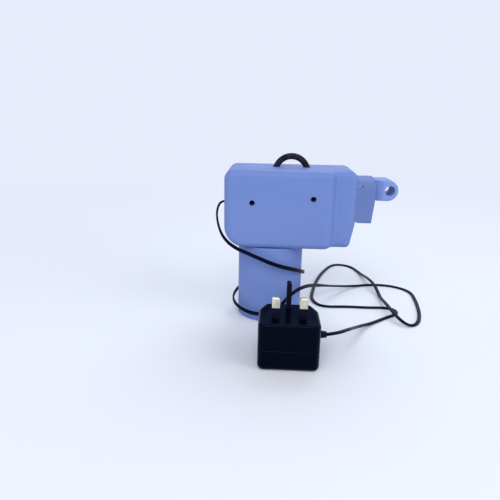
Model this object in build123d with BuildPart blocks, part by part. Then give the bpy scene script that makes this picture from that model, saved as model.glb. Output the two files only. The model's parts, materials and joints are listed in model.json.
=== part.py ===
from build123d import *

import os
from math import asin, atan, cos, degrees, pi, radians, sin, sqrt, tan

# Hand-held needle machine that works hair into locks. It stands on its round handle.
# +X runs along the head to the needle eye, -Y is the side with the two cover screws,
# +Z is up. The origin is the middle of the handle's foot. All sizes are millimetres.

os.makedirs("parts", exist_ok=True)

# The needle line runs along X at this height, and the head is laid out around it
needle_height = 129.8

# Head housing: deep at the rear, with a soft swell down to the shallow needle end
head_left = -44.5
head_right = 79.4
head_bottom = 75.0
head_top = needle_height + 18.8
head_half_depth = 32.0
shallow_depth = 22.4
bulge_flat_end = 49.0
swell_length = 13.0
swell_outer_radius = 9.0
head_wall = 2.5
chin_height = 98.0
chin_inset = 4.2
top_corner_radius = 9.0
rear_corner_radius = 20.0
chin_radius = 30.0
toe_radius = 4.5
head_edge_radius = 6.0
inner_edge_radius = 2.0
seam_front = 15.5
seam_groove_width = 0.9
seam_groove_depth = 0.7
cut_margin = 1.0

# Cover screws, in bosses that run through both shells
cover_screw_places = [(-18.4, needle_height - 11.1), (37.9, needle_height - 6.4)]
boss_radius = 3.9
screw_recess_radius = 2.65
screw_recess_depth = 12.0
screw_head_radius = 2.45
screw_head_height = 2.2
screw_shank_radius = 1.45
screw_clearance = 0.15
screw_length = 18.0

# Handle
handle_radius = 32.0
handle_wall = 2.5
neck_radius = 26.5
neck_bore_radius = 22.0
neck_gap = 0.1
neck_flange_radius = 28.0
neck_flange_height = 6.0
handle_edge_radius = 1.5
foot_cap_thickness = 3.0
foot_cap_skirt = 12.0
foot_cap_gap = 0.15
lead_slot_width = 5.6
lead_slot_outer = 24.6
neck_flat = 25.6

# Motor and its bracket
motor_radius = 21.0
motor_top = needle_height - 24.8
motor_length = 60.0
motor_gap = 0.5
motor_boss_radius = 6.4
motor_boss_height = 4.0
motor_edge_radius = 1.5
end_bell_height = 5.0
terminal_height = 6.0
terminal_width = 4.0
terminal_thickness = 0.8
terminal_spacing = 14.0
bracket_plate = 3.0
bracket_wall = 2.4
bracket_flange_height = 3.0
bracket_flange_radius = 28.2
bracket_screw_circle = 26.1
bracket_screw_count = 3
motor_screw_circle = 12.5
shaft_radius = 2.5
shaft_gap = 0.08

# Crank
crank_radius = 7.5
crank_disc_radius = 12.0
crank_disc_height = 7.0
crank_disc_bottom = needle_height - 16.8
crank_hub_radius = 6.0
crank_hub_height = 2.5
crank_shoulder_radius = 4.2
crank_shoulder_height = 1.5
crank_pin_radius = 3.0
grub_screw_radius = 1.5

# Needle line
rod_length = 22.5
rod_thickness = 4.0
rod_big_end_radius = 6.0
rod_small_end_radius = 4.0
rod_root_half_width = 3.4
rod_tip_half_width = 2.2
rod_gap = 0.3
wrist_pin_radius = 1.5
wrist_pin_gap = 0.06
wrist_head_radius = 2.3
wrist_head_height = 0.8
lug_thickness = 2.7
lug_radius = 4.4
web_thickness = 3.5
web_gap = 0.5
bar_radius = 2.0
bar_gap = 0.05
bar_end = 74.0
clamp_radius = 4.2
clamp_start = 68.0
clamp_end = 78.0
needle_radius = 0.5
needle_gap = 0.05
needle_pitch_radius = 1.3
needle_count = 3
needle_tip = 99.6
needle_point_length = 3.0
needle_hook_depth = 0.5
clamp_screw_radius = 1.2
clamp_screw_length = 2.0

# Nose: a barrel that guides the needle bar, a block round it and the eye at its end
barrel_start = 50.0
barrel_end = 90.0
barrel_radius = 7.4
barrel_bore_radius = 5.0
barrel_flange_radius = 8.7
barrel_flange_width = 3.0
barrel_gap = 0.1
bush_radius = 4.0
bush_end = 66.0
bush_flange_radius = 6.0
bush_flange_width = 1.5
nose_end = 96.2
nose_half_depth = 20.5
nose_crown = needle_height + 12.2
nose_shoulder = needle_height + 4.8
nose_bottom = needle_height - 29.8
nose_taper_height = needle_height - 9.7
nose_taper_inset = 1.8
nose_edge_radius = 2.2
nose_lip_height = 1.2
nose_lip_depth = 0.4
nose_pocket_wall = 3.5
nose_pocket_top = needle_height - 11.8
nose_notch_size = 1.8
nose_notch_place = 83.6
set_screw_radius = 2.0
set_screw_length = 8.0
set_screw_place = 84.7
eye_place = 110.6
eye_bore_radius = 4.75
eye_round_place = 108.9
eye_outer_radius = 9.7
eye_half_depth = 13.0
eye_cheek_inset = 4.5
eye_cheek_length = 8.0
eye_edge_radius = 1.8
eye_shank_radius = 6.4
eye_shank_depth = 4.0
needle_passage_radius = 2.5

# Hanging loop on top of the head: a round arch
loop_middle = 17.9
loop_depth_place = 3.0
loop_radius = 3.0
loop_top = head_top + 10.2
loop_arch_radius = 15.5
loop_gap = 0.65
loop_foot_height = head_top - 5.6
loop_stop_radius = 4.8
loop_stop_height = 4.0

# Rocker switch on the side away from the cover screws
switch_place = (-27.0, 96.0)
switch_cutout = (8.4, 13.4)
switch_bezel = (10.5, 15.0)
switch_bezel_height = 1.6
switch_body_depth = 16.0
switch_gap = 0.1
rocker_half_length = 4.9
rocker_half_width = 3.2
rocker_side_gap = 0.35
rocker_end_gap = 0.8
rocker_pivot_rise = -1.0
rocker_height = 3.2
rocker_dip = 0.9
rocker_keel = 1.5
rocker_tilt = 9.0
rocker_pocket_depth = 4.5
blade_length = 6.5
blade_spacing = 8.0

# Grommet at the rear end of the head, and the leads inside
grommet_height = 114.0
grommet_hole_radius = 3.4
grommet_radius = 5.2
grommet_flange = 2.0
lead_radius = 0.9
lead_start = 5.5
lead_hang = 12.5

# Power cord
cord_radius = 1.7
cord_bend_share = 0.45

# Wall adaptor with three flat pins, standing on the same surface as the handle
adaptor_place = (16.7, -102.3)
adaptor_size = (50.0, 44.0, 41.0)
adaptor_rear_width = 38.0
adaptor_cut_length = 14.0
adaptor_seam = 18.0
adaptor_edge_radius = 5.0
adaptor_foot_radius = 4.5
adaptor_rim_radius = 2.5
adaptor_seam_groove = 0.5
pin_front_distance = 14.2
pin_spacing = 22.2
earth_pin_distance = 22.2
live_pin_section = (6.35, 4.0)
live_pin_length = 17.7
live_pin_sleeve = 9.0
pin_sleeve_wall = 0.4
earth_pin_section = (4.0, 8.0)
earth_pin_length = 22.7
pin_root = 4.0
pin_tip_chamfer = 1.0
relief_height = 22.5
relief_depth_place = -100.0
relief_length = 7.0
relief_root_radius = 3.6
relief_tip_radius = 2.6

# The head is its side view crossed with its plan. The plan swells from the shallow end
# to the full depth in a soft S of two arcs.
head_outline = [
    (head_right, head_top),
    (head_right, chin_height),
    (head_right - chin_inset, head_bottom),
    (head_left, head_bottom),
    (head_left, head_top),
]
head_radii = [top_corner_radius, chin_radius, toe_radius, rear_corner_radius, top_corner_radius]
swell_turn = 2 * atan((head_half_depth - shallow_depth) / swell_length)
swell_inner_radius = swell_length / sin(swell_turn) - swell_outer_radius
swell_middle = (
    bulge_flat_end + swell_outer_radius * sin(swell_turn),
    swell_outer_radius * (1 - cos(swell_turn)) - head_half_depth,
)
swell_end = bulge_flat_end + swell_length
plan_left = head_left - 2 * head_wall
plan_right = head_right + 2 * head_wall

with BuildSketch(Plane.XZ) as head_side:
    with BuildLine():
        FilletPolyline(*head_outline, radius=head_radii, close=True)
    make_face()

with BuildSketch() as head_plan:
    with BuildLine():
        Line((plan_left, -head_half_depth), (bulge_flat_end, -head_half_depth))
        RadiusArc((bulge_flat_end, -head_half_depth), swell_middle, -swell_outer_radius)
        RadiusArc(swell_middle, (swell_end, -shallow_depth), swell_inner_radius)
        Polyline(
            (swell_end, -shallow_depth),
            (plan_right, -shallow_depth),
            (plan_right, head_half_depth),
            (plan_left, head_half_depth),
            (plan_left, -head_half_depth),
        )
    make_face()

with BuildSketch(Plane.XZ) as cavity_side:
    add(head_side.sketch)
    offset(amount=-head_wall, mode=Mode.REPLACE)

with BuildSketch() as cavity_plan:
    add(head_plan.sketch)
    offset(amount=-head_wall, mode=Mode.REPLACE)


def on_front_rim(edge):
    """True for the edges round the front, without the upright seams of the swell."""
    middle = edge @ 0.5
    in_front = middle.Y < head_wall - shallow_depth + 0.01
    in_swell = bulge_flat_end - cut_margin < middle.X < swell_end + cut_margin
    upright = abs((edge @ 0).Z - (edge @ 1).Z) > cut_margin
    return in_front and not (in_swell and upright)


def crossed_form(side, plan, edge_radius):
    """The side view crossed with the plan, with round edges at the front and rear."""
    with BuildPart() as form:
        extrude(plan, amount=head_top + cut_margin)
        extrude(side, amount=head_half_depth + cut_margin, both=True, mode=Mode.INTERSECT)
        fillet(form.edges().filter_by(on_front_rim), edge_radius)
        fillet(form.edges().group_by(Axis.Y)[-1], edge_radius)
    return form.part


cavity = crossed_form(cavity_side.sketch, cavity_plan.sketch, inner_edge_radius)

barrel_plane = Plane((0, 0, needle_height), x_dir=(0, 1, 0), z_dir=(1, 0, 0))
grommet_plane = Plane(
    (head_left - grommet_flange, 0, grommet_height), x_dir=(0, 1, 0), z_dir=(1, 0, 0)
)
switch_x, switch_z = switch_place
end_wall_inside = head_right - head_wall

loop_centre_height = loop_top - loop_arch_radius
loop_hole_rise = head_top - head_wall / 2 - loop_centre_height
loop_hole_reach = sqrt(loop_arch_radius**2 - loop_hole_rise**2)

# The housing is drawn whole, then parted along its seam into two shells
with BuildPart() as housing:
    add(crossed_form(head_side.sketch, head_plan.sketch, head_edge_radius))
    add(cavity, mode=Mode.SUBTRACT)
    # bosses for the cover screws
    with BuildSketch(Plane.XZ.offset(head_half_depth - head_wall / 2)):
        with Locations(*cover_screw_places):
            Circle(boss_radius)
    extrude(amount=-(2 * head_half_depth - head_wall))
    with BuildSketch(Plane.XZ.offset(head_half_depth)):
        with Locations(*cover_screw_places):
            Circle(screw_recess_radius)
    extrude(amount=-screw_recess_depth, mode=Mode.SUBTRACT)
    with BuildSketch(Plane.XZ.offset(head_half_depth - screw_recess_depth)):
        with Locations(*cover_screw_places):
            Circle(screw_shank_radius + screw_clearance)
    extrude(amount=-(screw_length + screw_clearance), mode=Mode.SUBTRACT)
    # groove along the seam
    with BuildSketch(Plane.XZ.offset(seam_front - seam_groove_width / 2)):
        add(head_side.sketch)
        offset(amount=seam_groove_depth, mode=Mode.REPLACE)
        add(head_side.sketch)
        offset(head_side.sketch, amount=-seam_groove_depth, mode=Mode.SUBTRACT)
    extrude(amount=seam_groove_width, mode=Mode.SUBTRACT)
    # mouth for the handle's neck
    with BuildSketch(Plane.XY.offset(head_bottom - head_wall)):
        Circle(neck_radius + neck_gap)
    extrude(amount=2 * head_wall + cut_margin, mode=Mode.SUBTRACT)
    # hole for the barrel
    with BuildSketch(barrel_plane.offset(end_wall_inside - cut_margin)):
        Circle(barrel_radius + barrel_gap)
    extrude(amount=head_wall + 2 * cut_margin, mode=Mode.SUBTRACT)
    # hole for the grommet
    with BuildSketch(grommet_plane.offset(grommet_flange - cut_margin)):
        Circle(grommet_hole_radius)
    extrude(amount=head_wall + 2 * cut_margin, mode=Mode.SUBTRACT)
    # holes for the hanging loop
    with BuildSketch(Plane.XY.offset(head_top - head_wall - cut_margin)):
        with Locations((loop_middle, loop_depth_place)):
            with GridLocations(2 * loop_hole_reach, 0, 2, 1):
                Circle(loop_radius + loop_gap)
    extrude(amount=head_wall + 2 * cut_margin, mode=Mode.SUBTRACT)
    # window for the switch
    with BuildSketch(Plane.XZ.offset(head_wall + cut_margin - head_half_depth)):
        with Locations(switch_place):
            Rectangle(*switch_cutout)
    extrude(amount=-(head_wall + 2 * cut_margin), mode=Mode.SUBTRACT)

seam = Plane.XZ.offset(seam_front)

with BuildPart() as front_shell:
    add(housing.part)
    split(bisect_by=seam, keep=Keep.TOP)
front_shell.part.label = "front_shell"
export_step(front_shell.part, "parts/front_shell.step")

with BuildPart() as rear_shell:
    add(housing.part)
    split(bisect_by=seam, keep=Keep.BOTTOM)
rear_shell.part.label = "rear_shell"
export_step(rear_shell.part, "parts/rear_shell.step")

# Cover screws: pan heads at the bottom of their recesses
screw_seat = head_half_depth - screw_recess_depth
with BuildPart() as cover_screws:
    with BuildSketch(Plane.XZ.offset(screw_seat)):
        with Locations(*cover_screw_places):
            Circle(screw_head_radius)
    extrude(amount=screw_head_height)
    fillet(cover_screws.edges().group_by(Axis.Y)[0], screw_head_height / 3)
    with BuildSketch(Plane.XZ.offset(screw_seat + screw_head_height)):
        for place in cover_screw_places:
            with Locations(place):
                Rectangle(screw_head_radius * 1.2, screw_head_radius / 4)
                Rectangle(screw_head_radius / 4, screw_head_radius * 1.2)
    extrude(amount=-screw_head_height / 2, mode=Mode.SUBTRACT)
    with BuildSketch(Plane.XZ.offset(screw_seat)):
        with Locations(*cover_screw_places):
            Circle(screw_shank_radius)
    extrude(amount=-screw_length)
cover_screws.part.label = "cover_screws"
export_step(cover_screws.part, "parts/cover_screws.step")

# Handle: a tube whose neck is trapped in the mouth of the head
neck_top = head_bottom + head_wall + neck_gap
flange_top = neck_top + neck_flange_height
handle_bore_radius = handle_radius - handle_wall
handle_profile = [
    (handle_radius, 0),
    (handle_radius, head_bottom),
    (neck_radius, head_bottom),
    (neck_radius, neck_top),
    (neck_flange_radius, neck_top),
    (neck_flange_radius, flange_top),
    (neck_bore_radius, flange_top),
    (neck_bore_radius, head_bottom - handle_wall),
    (handle_bore_radius, head_bottom - handle_wall),
    (handle_bore_radius, 0),
]
bracket_screw_places = [
    (
        bracket_screw_circle * cos(radians(360 / bracket_screw_count * i)),
        bracket_screw_circle * sin(radians(360 / bracket_screw_count * i)),
    )
    for i in range(bracket_screw_count)
]
slot_inner = neck_bore_radius - 2
slot_middle = -(slot_inner + lead_slot_outer) / 2
slot_length = lead_slot_outer - slot_inner

with BuildPart() as handle_tube:
    with BuildSketch(Plane.XZ):
        with BuildLine():
            Polyline(*handle_profile, close=True)
        make_face()
    revolve(axis=Axis.Z)
    fillet(
        handle_tube.edges().filter_by(GeomType.CIRCLE).filter_by(
            lambda e: abs(e.radius - handle_radius) < 0.01 and e.center().Z > head_bottom / 2
        ),
        handle_edge_radius,
    )
    with BuildSketch(Plane.XY.offset(flange_top)):
        with Locations(*bracket_screw_places):
            Circle(screw_shank_radius)
    extrude(amount=-neck_flange_height + 1, mode=Mode.SUBTRACT)
    with BuildSketch(Plane.XY.offset(head_bottom - 2 * handle_wall)):
        with Locations((slot_middle, 0)):
            Rectangle(slot_length, lead_slot_width)
    extrude(amount=flange_top - head_bottom + 3 * handle_wall, mode=Mode.SUBTRACT)
    # flat that keys the flange to the round rear corner of the head
    with BuildSketch(Plane.XY.offset(neck_top)):
        with Locations((-neck_flat - handle_wall, 0)):
            Rectangle(2 * handle_wall, 2 * neck_flange_radius)
    extrude(amount=neck_flange_height, mode=Mode.SUBTRACT)
handle_tube.part.label = "handle_tube"
export_step(handle_tube.part, "parts/handle_tube.step")

# Cap that closes the foot of the handle
cap_radius = handle_bore_radius - foot_cap_gap
with BuildPart() as foot_cap:
    with BuildSketch():
        Circle(cap_radius)
    extrude(amount=foot_cap_skirt)
    with BuildSketch(Plane.XY.offset(foot_cap_thickness)):
        Circle(cap_radius - handle_wall)
    extrude(amount=foot_cap_skirt, mode=Mode.SUBTRACT)
    with BuildSketch(Plane.XY.offset(foot_cap_thickness)):
        Rectangle(2 * cap_radius - handle_wall, handle_wall)
        Rectangle(handle_wall, 2 * cap_radius - handle_wall)
    extrude(amount=foot_cap_skirt / 3)
foot_cap.part.label = "foot_cap"
export_step(foot_cap.part, "parts/foot_cap.step")

# Motor: can, bearing boss, end bell and shaft
motor_bottom = motor_top - motor_length
with BuildPart() as motor_can:
    with BuildSketch(Plane.XY.offset(motor_bottom)):
        Circle(motor_radius)
        Circle(shaft_radius + 3 * shaft_gap, mode=Mode.SUBTRACT)
    extrude(amount=motor_length)
    fillet(
        motor_can.edges().filter_by(GeomType.CIRCLE).filter_by(
            lambda e: abs(e.radius - motor_radius) < 0.01
        ),
        motor_edge_radius,
    )
    with BuildSketch(Plane.XY.offset(motor_top)):
        with PolarLocations(motor_screw_circle, 2):
            Circle(screw_shank_radius)
    extrude(amount=-bracket_plate, mode=Mode.SUBTRACT)
motor_can.part.label = "motor_can"
export_step(motor_can.part, "parts/motor_can.step")

with BuildPart() as motor_bearing:
    with BuildSketch(Plane.XY.offset(motor_top)):
        Circle(motor_boss_radius)
        Circle(shaft_radius + shaft_gap, mode=Mode.SUBTRACT)
    extrude(amount=motor_boss_height)
    chamfer(motor_bearing.edges().group_by(Axis.Z)[-1], 0.5)
motor_bearing.part.label = "motor_bearing"
export_step(motor_bearing.part, "parts/motor_bearing.step")

bell_bottom = motor_bottom - end_bell_height
with BuildPart() as motor_end_bell:
    with BuildSketch(Plane.XY.offset(bell_bottom)):
        Circle(motor_radius - motor_edge_radius)
    extrude(amount=end_bell_height)
    chamfer(motor_end_bell.edges().group_by(Axis.Z)[0], 1)
motor_end_bell.part.label = "motor_end_bell"
export_step(motor_end_bell.part, "parts/motor_end_bell.step")

with BuildPart() as motor_terminals:
    with BuildSketch(Plane.XY.offset(bell_bottom)):
        with GridLocations(terminal_spacing, 0, 2, 1):
            Rectangle(terminal_thickness, terminal_width)
    extrude(amount=-terminal_height)
motor_terminals.part.label = "motor_terminals"
export_step(motor_terminals.part, "parts/motor_terminals.step")

crank_disc_top = crank_disc_bottom + crank_disc_height
with BuildPart() as motor_shaft:
    with BuildSketch(Plane.XY.offset(motor_bottom + motor_edge_radius)):
        Circle(shaft_radius)
    extrude(amount=crank_disc_top - motor_bottom - motor_edge_radius)
    chamfer(motor_shaft.edges().group_by(Axis.Z)[-1], 0.4)
motor_shaft.part.label = "motor_shaft"
export_step(motor_shaft.part, "parts/motor_shaft.step")

# Bracket: a top hat that carries the motor on the handle's neck
bracket_bore_radius = motor_radius + motor_gap
bracket_outer_radius = bracket_bore_radius + bracket_wall
bracket_profile = [
    (bracket_bore_radius, flange_top),
    (bracket_flange_radius, flange_top),
    (bracket_flange_radius, flange_top + bracket_flange_height),
    (bracket_outer_radius, flange_top + bracket_flange_height),
    (bracket_outer_radius, motor_top + bracket_plate),
    (motor_boss_radius + motor_gap, motor_top + bracket_plate),
    (motor_boss_radius + motor_gap, motor_top),
    (bracket_bore_radius, motor_top),
]
with BuildPart() as motor_bracket:
    with BuildSketch(Plane.XZ):
        with BuildLine():
            Polyline(*bracket_profile, close=True)
        make_face()
    revolve(axis=Axis.Z)
    with BuildSketch(Plane.XY.offset(motor_top)):
        with PolarLocations(motor_screw_circle, 2):
            Circle(screw_shank_radius + screw_clearance)
    extrude(amount=bracket_plate, mode=Mode.SUBTRACT)
    with BuildSketch(Plane.XY.offset(flange_top)):
        with Locations(*bracket_screw_places):
            Circle(screw_shank_radius + screw_clearance)
    extrude(amount=bracket_flange_height, mode=Mode.SUBTRACT)
    # notch that lets the leads in from the head
    with BuildSketch(Plane.XY.offset(flange_top)):
        with Locations((slot_middle - bracket_flange_radius / 2, 0)):
            Rectangle(slot_length + bracket_flange_radius, lead_slot_width)
    extrude(amount=4 * bracket_flange_height, mode=Mode.SUBTRACT)
    # cooling windows round the wall
    with BuildSketch(Plane.XY.offset(flange_top + 2 * bracket_flange_height)):
        with PolarLocations(bracket_bore_radius, 4, start_angle=45):
            Rectangle(4 * bracket_wall, motor_radius / 2)
    extrude(amount=4 * bracket_flange_height, mode=Mode.SUBTRACT)
motor_bracket.part.label = "motor_bracket"
export_step(motor_bracket.part, "parts/motor_bracket.step")

flange_seat = flange_top + bracket_flange_height
with BuildPart() as bracket_screws:
    with BuildSketch(Plane.XY.offset(flange_seat)):
        with Locations(*bracket_screw_places):
            Circle(screw_shank_radius + 0.5)
    extrude(amount=1.6)
    with BuildSketch(Plane.XY.offset(flange_seat)):
        with Locations(*bracket_screw_places):
            Circle(screw_shank_radius)
    extrude(amount=-(bracket_flange_height + neck_flange_height - 2))
bracket_screws.part.label = "bracket_screws"
export_step(bracket_screws.part, "parts/bracket_screws.step")

plate_top = motor_top + bracket_plate
with BuildPart() as motor_screws:
    with BuildSketch(Plane.XY.offset(plate_top)):
        with PolarLocations(motor_screw_circle, 2):
            Circle(screw_head_radius)
    extrude(amount=1.8)
    with BuildSketch(Plane.XY.offset(plate_top)):
        with PolarLocations(motor_screw_circle, 2):
            Circle(screw_shank_radius)
    extrude(amount=-(2 * bracket_plate - 0.5))
motor_screws.part.label = "motor_screws"
export_step(motor_screws.part, "parts/motor_screws.step")

# Crank disc, its grub screw and its pin
with BuildPart() as crank_disc:
    with BuildSketch(Plane.XY.offset(crank_disc_bottom)):
        Circle(crank_disc_radius)
    extrude(amount=crank_disc_height)
    chamfer(crank_disc.edges(), 0.6)
    with BuildSketch(Plane.XY.offset(crank_disc_bottom)):
        Circle(crank_hub_radius)
    extrude(amount=-crank_hub_height)
    with BuildSketch(Plane.XY.offset(crank_disc_bottom - crank_hub_height)):
        Circle(shaft_radius)
    extrude(amount=crank_disc_height + crank_hub_height, mode=Mode.SUBTRACT)
    with BuildSketch(Plane.XY.offset(crank_disc_top)):
        with Locations((-crank_radius, 0)):
            Circle(crank_pin_radius - 0.8)
    extrude(amount=-crank_disc_height, mode=Mode.SUBTRACT)
    with BuildSketch(Plane.XZ.offset(shaft_radius)):
        with Locations((0, crank_disc_bottom + crank_disc_height / 2)):
            Circle(grub_screw_radius)
    extrude(amount=crank_disc_radius, mode=Mode.SUBTRACT)
crank_disc.part.label = "crank_disc"
export_step(crank_disc.part, "parts/crank_disc.step")

with BuildPart() as crank_grub_screw:
    with BuildSketch(Plane.XZ.offset(shaft_radius)):
        with Locations((0, crank_disc_bottom + crank_disc_height / 2)):
            Circle(grub_screw_radius)
    extrude(amount=crank_disc_radius / 2)
    with BuildSketch(Plane.XZ.offset(shaft_radius + crank_disc_radius / 2)):
        with Locations((0, crank_disc_bottom + crank_disc_height / 2)):
            RegularPolygon(grub_screw_radius / 2, 6)
    extrude(amount=-grub_screw_radius, mode=Mode.SUBTRACT)
crank_grub_screw.part.label = "crank_grub_screw"
export_step(crank_grub_screw.part, "parts/crank_grub_screw.step")

rod_bottom = needle_height - rod_thickness / 2
rod_top = needle_height + rod_thickness / 2
crank_pin_top = rod_bottom - rod_gap
with BuildPart() as crank_pin:
    with BuildSketch(Plane.XY.offset(crank_disc_bottom)):
        with Locations((-crank_radius, 0)):
            Circle(crank_pin_radius - 0.8)
    extrude(amount=crank_disc_height)
    with BuildSketch(Plane.XY.offset(crank_disc_top)):
        with Locations((-crank_radius, 0)):
            Circle(crank_shoulder_radius)
    extrude(amount=crank_shoulder_height)
    with BuildSketch(Plane.XY.offset(crank_disc_top + crank_shoulder_height)):
        with Locations((-crank_radius, 0)):
            Circle(crank_pin_radius)
    extrude(amount=crank_pin_top - crank_disc_top - crank_shoulder_height)
    chamfer(crank_pin.edges().group_by(Axis.Z)[-1], 0.4)
crank_pin.part.label = "crank_pin"
export_step(crank_pin.part, "parts/crank_pin.step")

# Connecting rod, drawn with the needle drawn back
wrist_x = rod_length - crank_radius
with BuildPart() as connecting_rod:
    with BuildSketch(Plane.XY.offset(rod_bottom)):
        with BuildLine():
            Polyline(
                (-crank_radius, -rod_root_half_width),
                (wrist_x, -rod_tip_half_width),
                (wrist_x, rod_tip_half_width),
                (-crank_radius, rod_root_half_width),
                close=True,
            )
        make_face()
        with Locations((-crank_radius, 0)):
            Circle(rod_big_end_radius)
        with Locations((wrist_x, 0)):
            Circle(rod_small_end_radius)
        with Locations((-crank_radius, 0)):
            Circle(crank_pin_radius + 0.2, mode=Mode.SUBTRACT)
        with Locations((wrist_x, 0)):
            Circle(wrist_pin_radius + wrist_pin_gap, mode=Mode.SUBTRACT)
    extrude(amount=rod_thickness)
connecting_rod.part.label = "connecting_rod"
export_step(connecting_rod.part, "parts/connecting_rod.step")

# Needle bar with the lug that carries the rod's small end
web_start = wrist_x + rod_small_end_radius + web_gap
lug_bottom = rod_top + rod_gap
lug_top = lug_bottom + lug_thickness
with BuildPart() as needle_bar:
    with BuildSketch(Plane.XY.offset(lug_bottom)):
        with Locations((wrist_x, 0)):
            Circle(lug_radius)
        with Locations(((wrist_x + web_start + web_thickness) / 2, 0)):
            Rectangle(web_start + web_thickness - wrist_x, 2 * lug_radius)
        with Locations((wrist_x, 0)):
            Circle(wrist_pin_radius, mode=Mode.SUBTRACT)
    extrude(amount=lug_thickness)
    with BuildSketch(Plane.XY.offset(rod_bottom)):
        with Locations((web_start + web_thickness / 2, 0)):
            Rectangle(web_thickness, 2 * lug_radius)
    extrude(amount=rod_thickness + rod_gap)
    with BuildSketch(barrel_plane.offset(web_start + web_thickness / 2)):
        Circle(bar_radius)
    extrude(amount=bar_end - web_start - web_thickness / 2)
needle_bar.part.label = "needle_bar"
export_step(needle_bar.part, "parts/needle_bar.step")

with BuildPart() as wrist_pin:
    with BuildSketch(Plane.XY.offset(rod_bottom - wrist_pin_gap)):
        with Locations((wrist_x, 0)):
            Circle(wrist_pin_radius)
    extrude(amount=lug_top - rod_bottom + wrist_pin_gap)
    with BuildSketch(Plane.XY.offset(rod_bottom - wrist_pin_gap)):
        with Locations((wrist_x, 0)):
            Circle(wrist_head_radius)
    extrude(amount=-wrist_head_height)
    chamfer(wrist_pin.edges().group_by(Axis.Z)[0], 0.2)
wrist_pin.part.label = "wrist_pin"
export_step(wrist_pin.part, "parts/wrist_pin.step")

# Clamp that holds the needles on the bar
with BuildPart() as needle_clamp:
    with BuildSketch(barrel_plane.offset(clamp_start)):
        Circle(clamp_radius)
    extrude(amount=clamp_end - clamp_start)
    chamfer(needle_clamp.edges().group_by(Axis.X)[-1], 0.8)
    with BuildSketch(barrel_plane.offset(clamp_start)):
        Circle(bar_radius)
    extrude(amount=bar_end - clamp_start, mode=Mode.SUBTRACT)
    with BuildSketch(barrel_plane.offset(bar_end)):
        with PolarLocations(needle_pitch_radius, needle_count):
            Circle(needle_radius + needle_gap)
    extrude(amount=clamp_end - bar_end, mode=Mode.SUBTRACT)
    with BuildSketch(Plane.XY.offset(needle_height + bar_radius)):
        with Locations(((clamp_start + bar_end) / 2, 0)):
            Circle(clamp_screw_radius)
    extrude(amount=clamp_radius, mode=Mode.SUBTRACT)
needle_clamp.part.label = "needle_clamp"
export_step(needle_clamp.part, "parts/needle_clamp.step")

with BuildPart() as clamp_screw:
    with BuildSketch(Plane.XY.offset(needle_height + bar_radius)):
        with Locations(((clamp_start + bar_end) / 2, 0)):
            Circle(clamp_screw_radius)
            RegularPolygon(clamp_screw_radius / 2, 6, mode=Mode.SUBTRACT)
    extrude(amount=clamp_screw_length)
clamp_screw.part.label = "clamp_screw"
export_step(clamp_screw.part, "parts/clamp_screw.step")

# Three hooked needles side by side
with BuildPart() as needles:
    with BuildSketch(barrel_plane.offset(bar_end + needle_gap)):
        with PolarLocations(needle_pitch_radius, needle_count):
            Circle(needle_radius)
    extrude(amount=needle_tip - needle_point_length - bar_end - needle_gap)
    with BuildSketch(barrel_plane.offset(needle_tip - needle_point_length)):
        with PolarLocations(needle_pitch_radius, needle_count):
            Circle(needle_radius)
    extrude(amount=needle_point_length, taper=6)
    with BuildSketch(barrel_plane.offset(needle_tip - 2 * needle_point_length)):
        with PolarLocations(needle_pitch_radius + needle_radius, needle_count):
            Rectangle(needle_hook_depth, 2 * needle_radius)
    extrude(amount=needle_point_length / 3, mode=Mode.SUBTRACT)
needles.part.label = "needles"
export_step(needles.part, "parts/needles.step")

# Barrel with its bush
with BuildPart() as needle_barrel:
    with BuildSketch(barrel_plane.offset(barrel_start)):
        Circle(barrel_radius)
    extrude(amount=barrel_end - barrel_start)
    with BuildSketch(barrel_plane.offset(end_wall_inside - barrel_flange_width)):
        Circle(barrel_flange_radius)
    extrude(amount=barrel_flange_width)
    with BuildSketch(barrel_plane.offset(barrel_start)):
        Circle(bush_radius)
    extrude(amount=bush_end - barrel_start, mode=Mode.SUBTRACT)
    with BuildSketch(barrel_plane.offset(bush_end)):
        Circle(barrel_bore_radius)
    extrude(amount=barrel_end - bush_end, mode=Mode.SUBTRACT)
    chamfer(needle_barrel.edges().group_by(Axis.X)[0].sort_by(Axis.Y)[-1], 0.6)
needle_barrel.part.label = "needle_barrel"
export_step(needle_barrel.part, "parts/needle_barrel.step")

with BuildPart() as guide_bush:
    with BuildSketch(barrel_plane.offset(barrel_start - bush_flange_width)):
        Circle(bush_flange_radius)
    extrude(amount=bush_flange_width)
    with BuildSketch(barrel_plane.offset(barrel_start)):
        Circle(bush_radius)
    extrude(amount=bush_end - barrel_start)
    with BuildSketch(barrel_plane.offset(barrel_start - bush_flange_width)):
        Circle(bar_radius + bar_gap)
    extrude(amount=bush_end - barrel_start + bush_flange_width, mode=Mode.SUBTRACT)
guide_bush.part.label = "guide_bush"
export_step(guide_bush.part, "parts/guide_bush.step")

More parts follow.
